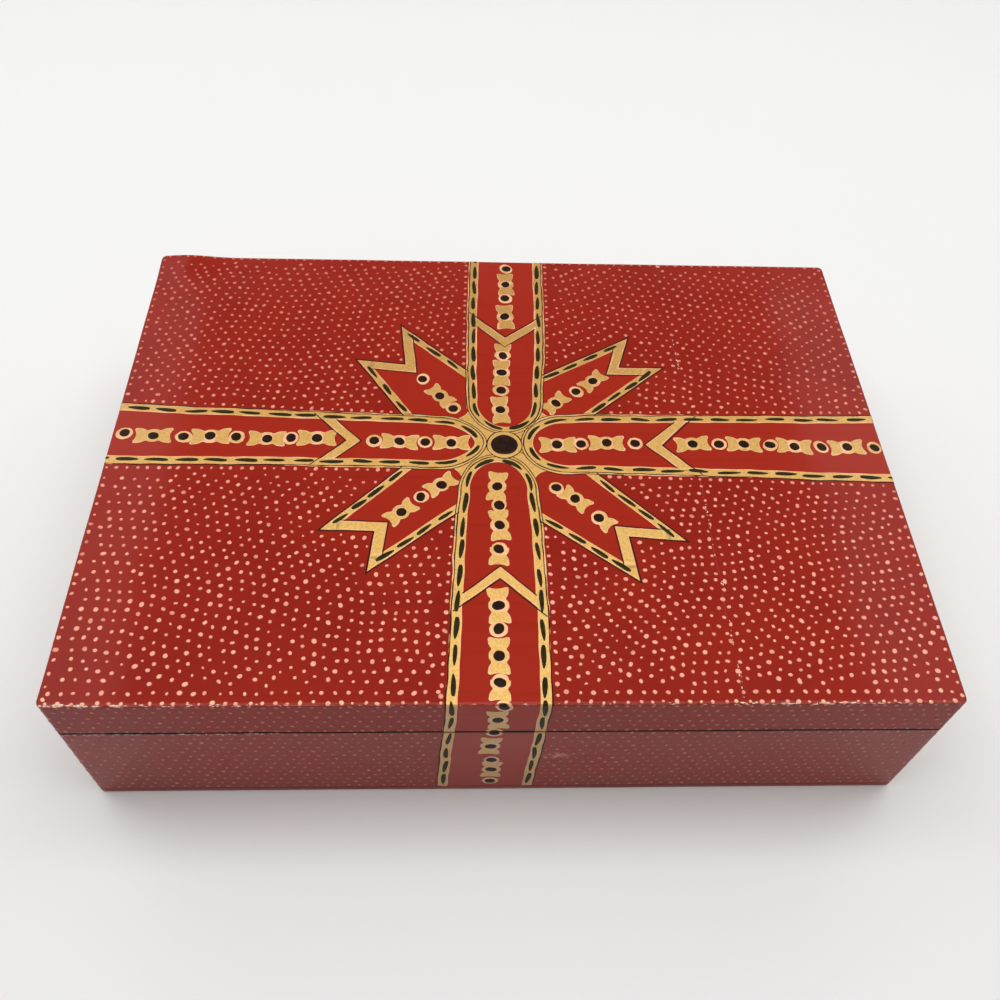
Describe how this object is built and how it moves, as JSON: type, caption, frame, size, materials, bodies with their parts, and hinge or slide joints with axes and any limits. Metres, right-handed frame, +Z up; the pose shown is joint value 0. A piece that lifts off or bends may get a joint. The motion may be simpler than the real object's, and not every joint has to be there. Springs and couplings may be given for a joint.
{
  "type": "wooden storage box",
  "caption": "Flat rectangular wooden box with a shallow hinged lid, felt lining and a red lacquered outside painted with a ribbon, bow and dots.",
  "frame": {"origin": "middle of the underside of the shut box, on the surface that it stands on", "axes": "+Z up, +X along the length to the right seen from the front, +Y to the back, where the hinges are"},
  "size_m": [0.254, 0.1894, 0.0615],
  "materials": {
    "lacquered_board": "red paint on filler under glossy clear lacquer; bare pale wood on the inside",
    "bare_wood": "sanded and sealed, satin",
    "gold_paint": "gold paint under glossy clear lacquer",
    "black_paint": "dark olive-black paint under glossy clear lacquer",
    "dot_paint": "pale gold paint in raised dots",
    "felt": "pressed wool felt",
    "hinge_brass": "drawn, slightly tarnished",
    "brad_steel": "plain wire"
  },
  "bodies": {
    "tray": {"base_back_wall": "lacquered_board", "base_bottom_board": "lacquered_board", "base_bottom_brads": "brad_steel", "base_corner_brads": "brad_steel", "base_floor_felt": "felt", "base_front_wall": "lacquered_board", "base_left_wall": "lacquered_board", "base_right_wall": "lacquered_board", "left_hinge_base_leaf": "hinge_brass", "left_hinge_base_screws": "hinge_brass", "left_hinge_pin": "hinge_brass", "right_hinge_base_leaf": "hinge_brass", "right_hinge_base_screws": "hinge_brass", "right_hinge_pin": "hinge_brass"},
    "lid": {"left_hinge_lid_leaf": "hinge_brass", "left_hinge_lid_screws": "hinge_brass", "lid_back_rail": "lacquered_board", "lid_ceiling_felt": "felt", "lid_corner_brads": "brad_steel", "lid_front_rail": "lacquered_board", "lid_left_rail": "lacquered_board", "lid_right_rail": "lacquered_board", "lid_top_brads": "brad_steel", "lid_top_narrow_board": "lacquered_board", "lid_top_wide_board": "lacquered_board", "right_hinge_lid_leaf": "hinge_brass", "right_hinge_lid_screws": "hinge_brass"}
  },
  "joints": [
    {"name": "lid_hinge", "type": "hinge", "parent": "tray", "child": "lid", "pos_m": [0, 0.0949, 0.0442], "axis": [-1, 0, 0], "range_deg": [0, 180]}
  ]
}
